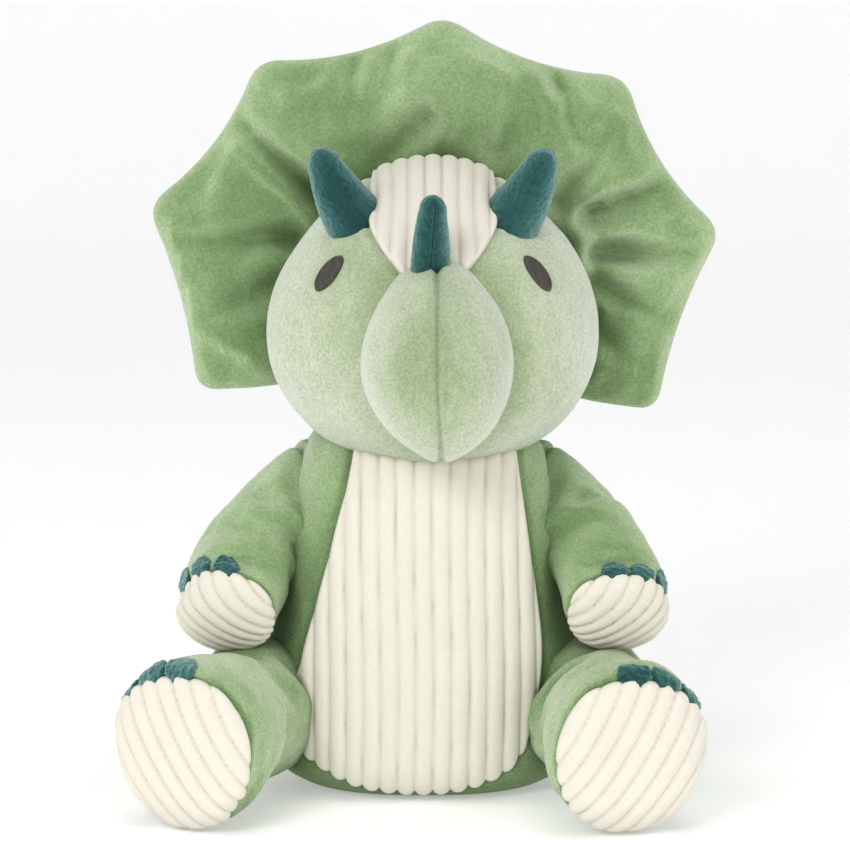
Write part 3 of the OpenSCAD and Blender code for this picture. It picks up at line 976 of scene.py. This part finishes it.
TORSO_PROFILE = spline(
    [(0, 0), (40, 0.1), (52, 2.6), (60.5, 12), (65.5, 42), (63, 70), (57.5, 98), (51.5, 120),
     (45, 136), (34, 147), (16, 152), (0, 153)], 8)
TORSO_LENGTH = np.concatenate([[0], np.cumsum(np.hypot(*np.diff(TORSO_PROFILE, axis=0).T))])
TORSO_SQUARE = 2.35
FRONT_DEPTH, BACK_DEPTH = 0.93, 0.97


def torso_section(turn):
    """Unit cross-section of the torso: a rounded square, a little shallow in front.

    turn is 0 straight ahead and grows towards the toy's left.
    """
    q = 2 / TORSO_SQUARE
    x = np.sign(np.sin(turn)) * np.abs(np.sin(turn)) ** q
    y = -np.sign(np.cos(turn)) * np.abs(np.cos(turn)) ** q
    return x, np.where(y < 0, y * FRONT_DEPTH, y * BACK_DEPTH)


def belly_surface():
    """The torso's front, by the distance round it from the middle and the height."""
    turns = np.linspace(-1.5, 1.5, 601)
    x, y = torso_section(turns)
    steps = np.hypot(np.diff(x), np.diff(y))
    walk = np.concatenate([[0], np.cumsum(steps)])
    walk -= walk[300]

    def surface(u, v):
        r = np.interp(v, TORSO_LENGTH, TORSO_PROFILE[:, 0])
        z = np.interp(v, TORSO_LENGTH, TORSO_PROFILE[:, 1])
        turn = np.interp(u / np.maximum(r, 1), walk, turns)
        x, y = torso_section(turn)
        return np.stack([x * r, y * r, z], axis=-1)

    return surface


BELLY = np.vstack([
    spline([(-5, 4), (11, 5), (27, 10), (35, 16), (40, 24), (44, 37), (46, 60),
            (43.5, 85), (40, 108), (36.7, 131), (35, 150)], 5),
    spline([(-26, 150), (-28.3, 131), (-34, 108), (-40, 85), (-46.8, 60), (-52, 37),
            (-49.5, 22), (-39, 13), (-24, 6.5), (-5, 4)], 5)])


def belly_distance(p):
    return outline_distance(p[..., 0], p[..., 2], BELLY)


def make_belly():
    def distance(u, v, p):
        return belly_distance(p) - 1.8 * rib(u) * smooth_step((30 - p[..., 2]) / 15)

    def height(u, v, p):
        return GROOVE_LIFT + RIB_HEIGHT * rib(u + 0.5 * np.sin(v / 21))

    piece = panel("belly", belly_surface(), distance, height, (-62, 62), (30, 200), 0.55,
                  CREAM, np.array((0, 0, 75)))
    declare(piece, "torso", "cream_cord", "belly_panel", fill=0.85)


def make_torso():
    rows, columns = 240, 400
    v = np.linspace(0, TORSO_LENGTH[-1], rows + 2)[1:-1]
    turn = np.linspace(0, 2 * math.pi, columns, endpoint=False)
    vv, tt = np.meshgrid(v, turn, indexing="ij")
    r = np.interp(vv, TORSO_LENGTH, TORSO_PROFILE[:, 0])
    z = np.interp(vv, TORSO_LENGTH, TORSO_PROFILE[:, 1])
    x, y = torso_section(tt)
    grid = np.stack([x * r, y * r, z], axis=-1)
    p = grid.reshape(-1, 3)
    outward = unit(p - np.array((0, 0, 70)))
    cord = belly_distance(p)
    belly_seam = np.exp(-(cord / 1.6) ** 2) * (p[:, 1] < 0)
    under = smooth_step(-cord / 6) * (p[:, 1] < 0)
    back_seam = np.exp(-(p[:, 0] / 1.3) ** 2) * (p[:, 1] > 0)
    soft = waves(p, 30, 13) * 1.3 + waves(p, 11, 14) * 0.4
    soft *= smooth_step(p[:, 2] / 12)
    p = p + outward * (soft - 1.2 * belly_seam - 3 * under - 1.3 * back_seam)[:, None]
    p[:, 2] = np.maximum(p[:, 2], 0)
    points, faces = closed_tube(
        p.reshape(grid.shape), np.zeros(3), np.array((0, 0, TORSO_PROFILE[-1, 1])))
    piece = add_mesh("torso_cover", points, faces, SAGE)
    make_outward(piece)
    declare(piece, "torso", "sage_plush", "body_left_panel", "body_right_panel",
            "body_stuffing", "pellet_bag", fill=0.8)


def make_neck():
    """Soft gathered neck, hidden between the head and the body."""
    low, high = node_box("neck_stuffing")
    middle = (low + high) / 2
    directions, faces = ball_directions(24)
    half = (high - low) / 2 * (1, 1, 0.9)
    turn = np.arctan2(directions[:, 1], directions[:, 0])
    gather = 1 + 0.03 * np.cos(turn * 14) * (1 - directions[:, 2] ** 2)
    piece = add_mesh("neck", middle + directions * half * gather[:, None], faces, SAGE)
    declare(piece, "neck", "fibre_fill", "neck_stuffing", fill=0.7)


# ---- Frill ----

FRILL_MIDDLE = np.array((1.2, HEAD[1] + 22, 150))
ROLL_COS, ROLL_SIN = math.cos(math.radians(2.5)), math.sin(math.radians(2.5))
FRILL_TIPS = np.array([(0, 153), (73, 132), (115, 72), (92, -2)])
FRILL_DIPS = (6.5, 6.5, 4)
FRILL_HUB = np.array((0, 40))
TIP_SHARE = 0.13
FRILL_GAP = math.radians(50)
FRILL_INNER = 47
FRILL_HALF, FRILL_EDGE = 8.6, 15  # half thickness, and how far in it is reached


def frill_outline():
    """Right half's tips joined by inward curves and rounded, then mirrored."""
    def bezier(a, c, b, n):
        t = np.linspace(0, 1, n)[:, None]
        return (1 - t) ** 2 * a + 2 * t * (1 - t) * c + t * t * b

    edges = []
    for a, b, dip in zip(FRILL_TIPS, FRILL_TIPS[1:], FRILL_DIPS):
        d = b - a
        inward = np.array((d[1], -d[0])) / np.linalg.norm(d)
        control = (a + b) / 2 + 2 * dip * inward
        curve = bezier(a, control, b, 31)
        cut = int(31 * TIP_SHARE)
        edges.append(curve[cut:31 - cut])
    side = [edges[0]]
    for before, tip, after in zip(edges, FRILL_TIPS[1:], edges[1:]):
        side += [bezier(before[-1], tip, after[0], 9)[1:-1], after]
    hem = np.array((58, 3))
    side += [bezier(edges[-1][-1], FRILL_TIPS[-1], np.array((82, 0)), 9)[1:-1],
             bezier(np.array((82, 0)), np.array((70, 0.5)), hem, 7)]
    side = np.vstack(side)
    mirrored = side[::-1] * (-1, 1)
    under = np.linspace(side[-1], mirrored[0], 61)[1:-1]
    first = bezier(mirrored[-1], FRILL_TIPS[0], side[0], 9)[1:-1]
    return np.vstack([side, under, mirrored, first])


# Creases of the frill as (start, end, depth, width), in the frill's own flat frame
FRILL_CREASES = [
    ((-44, 77), (-82, 110), 9, 3.6),
    ((-54, 61), (-98, 60), 6.5, 4),
    ((-60, 44), (-92, 30), 4, 5),
    ((-34, 137), (-36, 112), 4.5, 3.6),
    ((-18, 143), (-22, 124), 3, 3.2),
    ((-6, 110), (-22, 94), 5, 5),
    ((24, 100), (30, 126), 3, 5),
    ((45, 134), (54, 106), 5, 3.6),
    ((57, 133), (57, 120), 3.5, 3.2),
    ((50, 80), (66, 108), 5, 4.5),
    ((62, 76), (104, 97), 7.5, 4.2),
    ((66, 62), (108, 64), 7, 4.2),
    ((64, 50), (96, 36), 5, 4.6),
    ((62, 36), (84, 16), 4, 4.5),
]


def crease_depth(x, z):
    total = np.zeros(x.shape)
    for (ax, az), (bx, bz), depth, width in FRILL_CREASES:
        ex, ez = bx - ax, bz - az
        length = math.hypot(ex, ez)
        along = ((x - ax) * ex + (z - az) * ez) / length
        t = np.clip(along / length, 0, 1)
        away = np.hypot(x - ax - t * ex, z - az - t * ez)
        fade = 1 - 0.75 * smooth_step(t)
        total += depth * fade * (np.exp(-(away / width) ** 2)
                                 - 0.35 * np.exp(-((away - 2.2 * width) / width) ** 2))
    return total


def make_frill():
    outline = frill_outline()
    turns, shares = 420, 90
    angles = np.linspace(-math.pi / 2, 1.5 * math.pi, turns, endpoint=False)
    edge_turn = np.arctan2(outline[:, 1] - FRILL_HUB[1], outline[:, 0] - FRILL_HUB[0])
    edge_turn = np.where(edge_turn < -math.pi / 2, edge_turn + 2 * math.pi, edge_turn)
    edge_reach = np.linalg.norm(outline - FRILL_HUB, axis=1)
    order = np.argsort(edge_turn)
    reach = np.interp(angles, edge_turn[order], edge_reach[order],
                      period=2 * math.pi)
    share = np.linspace(0, 1, shares) ** 0.8
    a, s = np.meshgrid(angles, share, indexing="ij")
    from_end = np.abs(np.angle(np.exp(1j * (a + math.pi / 2)))) - FRILL_GAP
    rr = FRILL_INNER + (reach[:, None] - FRILL_INNER) * s
    x = FRILL_HUB[0] + rr * np.cos(a)
    z = FRILL_HUB[1] + rr * np.sin(a)
    rows = from_end[:, 0] >= 0
    x, z = x[rows], z[rows]
    end_distance = (rr * np.sin(np.clip(from_end, 0, 1.4)))[rows]
    d = np.clip(-outline_distance(x, z, outline), 0, 0.3 + end_distance)
    pillow = FRILL_HALF * np.sqrt(1 - (1 - np.clip(d / FRILL_EDGE, 0, 1)) ** 2)
    crease = crease_depth(x, z)
    flat = np.stack([x, np.zeros(x.shape), z], axis=-1).reshape(-1, 3)
    ripple = (waves(flat, 24, 15) * 1.5 + waves(flat, 9, 16) * 0.5).reshape(x.shape)
    ease = np.clip(d / 8, 0, 1)
    front = pillow + ease * (ripple - crease)
    back = pillow + ease * (ripple[::-1] * 0.8 - 0.5 * crease)
    sway = 2.5 * np.sin(np.arctan2(z - FRILL_HUB[1], x) * 5 + 0.7) * smooth_step(
        (np.hypot(x, z - FRILL_HUB[1]) - 70) / 50)

    def placed(y):
        return np.stack([FRILL_MIDDLE[0] + x * ROLL_COS + z * ROLL_SIN,
                         FRILL_MIDDLE[1] + y + sway,
                         FRILL_MIDDLE[2] - x * ROLL_SIN + z * ROLL_COS], axis=-1)

    quads = grid_quads(*x.shape)
    piece = shell("frill", placed(-front).reshape(-1, 3), placed(back).reshape(-1, 3),
                  quads, SAGE)
    declare(piece, "head", "sage_plush", "frill_front", "frill_back", "frill_wadding",
            fill=0.5)

    def sewn(points):
        q = points - FRILL_MIDDLE
        fx = q[:, 0] * ROLL_COS - q[:, 2] * ROLL_SIN
        fz = q[:, 0] * ROLL_SIN + q[:, 2] * ROLL_COS
        hem = 1 - smooth_step((-outline_distance(fx, fz, outline) - 2.5) / 3)
        ring = 1 - smooth_step((np.hypot(fx, fz - FRILL_HUB[1]) - 56) / 6)
        return np.maximum(hem, ring)

    settle(piece, (), 4, sewn, 0.06, pressure=2.5, cap=5)


LABEL_WIDTH, LABEL_LENGTH = 24, 32


def make_label():
    """Small blank ribbon folded in half, its ends sewn into the body's seam."""
    middle = node_centre("care_label")
    out = unit((middle[0], middle[1], 0))
    aside = np.cross(out, (0, 0, 1))
    root = out * 60.5 + np.array((0, 0, middle[2]))
    fold, half = 0.8, LABEL_LENGTH / 2
    share = np.linspace(-1, 1, 81)
    run = np.abs(share) * half
    bend = np.clip(run / fold, 0, math.pi / 2)
    reach = half - fold + fold * np.cos(bend) - np.maximum(run - fold * math.pi / 2, 0)
    apart = np.sign(share) * fold * np.sin(bend) * (0.5 + 0.5 * smooth_step(reach / 9))
    apart += 2.2 * np.clip(reach / half, 0, 1) ** 2
    tangent = unit(np.stack([np.gradient(reach), np.gradient(apart)], axis=-1))
    width = np.linspace(-0.5, 0.5, 31) * LABEL_WIDTH

    def layer(lift):
        r, a = reach - tangent[:, 1] * lift, apart + tangent[:, 0] * lift
        line = root + r[:, None] * out + a[:, None] * aside
        return (line[:, None, :] + width[None, :, None] * np.array((0, 0, 1))).reshape(-1, 3)

    piece = shell("label_ribbon", layer(0.2), layer(-0.2), grid_quads(81, 31), RIBBON)
    declare(piece, "torso", "label_cloth", "care_label", padded=False)


# ---- Stage ----

def make_stage():
    """A pale round floor whose edge sweeps up into a wall, well outside every camera."""
    white = Nodes("studio_floor")
    tone = white.noise(3, 2)
    white.link(white.ramp(tone, (0, (0.93,) * 3), (1, (0.95,) * 3)),
               white.shader.inputs["Base Color"])
    white.finish(Roughness=1, Specular_IOR_Level=0, Emission_Color=(1, 1, 1, 1),
                 Emission_Strength=0.33)
    flat, sweep, wall, turns = 2600, 900, 3000, 96
    bend = np.linspace(0, math.pi / 2, 24)
    radius = np.concatenate([[flat / 2], flat + sweep * np.sin(bend), [flat + sweep]])
    height = np.concatenate([[0], sweep * (1 - np.cos(bend)), [wall]])
    turn = np.linspace(0, 2 * math.pi, turns, endpoint=False)
    rings = np.stack([np.outer(radius, np.cos(turn)), np.outer(radius, np.sin(turn)),
                      np.repeat(height[:, None], turns, axis=1)], axis=-1)
    points = np.vstack([rings.reshape(-1, 3), np.zeros(3)]) - (0, 0, 0.3)
    faces = grid_quads(len(radius), turns, wrap=True).tolist()
    centre = len(points) - 1
    faces += [[centre, (c + 1) % turns, c] for c in range(turns)]
    add_mesh("floor", points, faces, white.material)


def area_light(name, place, aim, size, power):
    light = bpy.data.lights.new(name, "AREA")
    light.size, light.energy = size, power
    lamp = bpy.data.objects.new(name, light)
    bpy.context.scene.collection.objects.link(lamp)
    lamp.location = place
    lamp.rotation_euler = (Vector(aim) - Vector(place)).to_track_quat("-Z", "Y").to_euler()


def make_lights():
    world = bpy.data.worlds.new("studio")
    world.use_nodes = True
    background = world.node_tree.nodes["Background"]
    background.inputs["Color"].default_value = (1, 1, 1, 1)
    background.inputs["Strength"].default_value = 0.10
    bpy.context.scene.world = world
    aim = (0, 0, 0.15)
    area_light("key", (-0.9, -1.9, 1.3), aim, 0.9, 17)
    area_light("fill", (1.4, -1.6, 0.7), aim, 1.1, 4.5)
    area_light("top", (0, -0.2, 2), aim, 1.2, 8.5)
    bpy.context.scene.view_settings.view_transform = "Standard"


CAMERA_RISE = math.radians(8)
CAMERA_DISTANCE = 1.5
CAMERA_AIM = Vector((0.0004, 0, 0.1406))


def make_camera():
    camera = bpy.data.cameras.new("camera")
    camera.sensor_width, camera.lens = 36, 160
    eye = bpy.data.objects.new("camera", camera)
    bpy.context.scene.collection.objects.link(eye)
    back = Vector((0, -math.cos(CAMERA_RISE), math.sin(CAMERA_RISE)))
    eye.location = CAMERA_AIM + back * CAMERA_DISTANCE
    eye.rotation_euler = (-back).to_track_quat("-Z", "Y").to_euler()
    bpy.context.scene.camera = eye


make_camera()
make_lights()
make_stage()
make_torso()
make_belly()
make_neck()
make_head()
make_head_back()
make_forehead()
make_muzzle()
make_horns()
make_frill()
make_tail()
make_label()
for side_name, side_sign in SIDES.items():
    make_eye(side_name, side_sign)
    make_arm(side_name, side_sign)
    make_leg(side_name, side_sign)
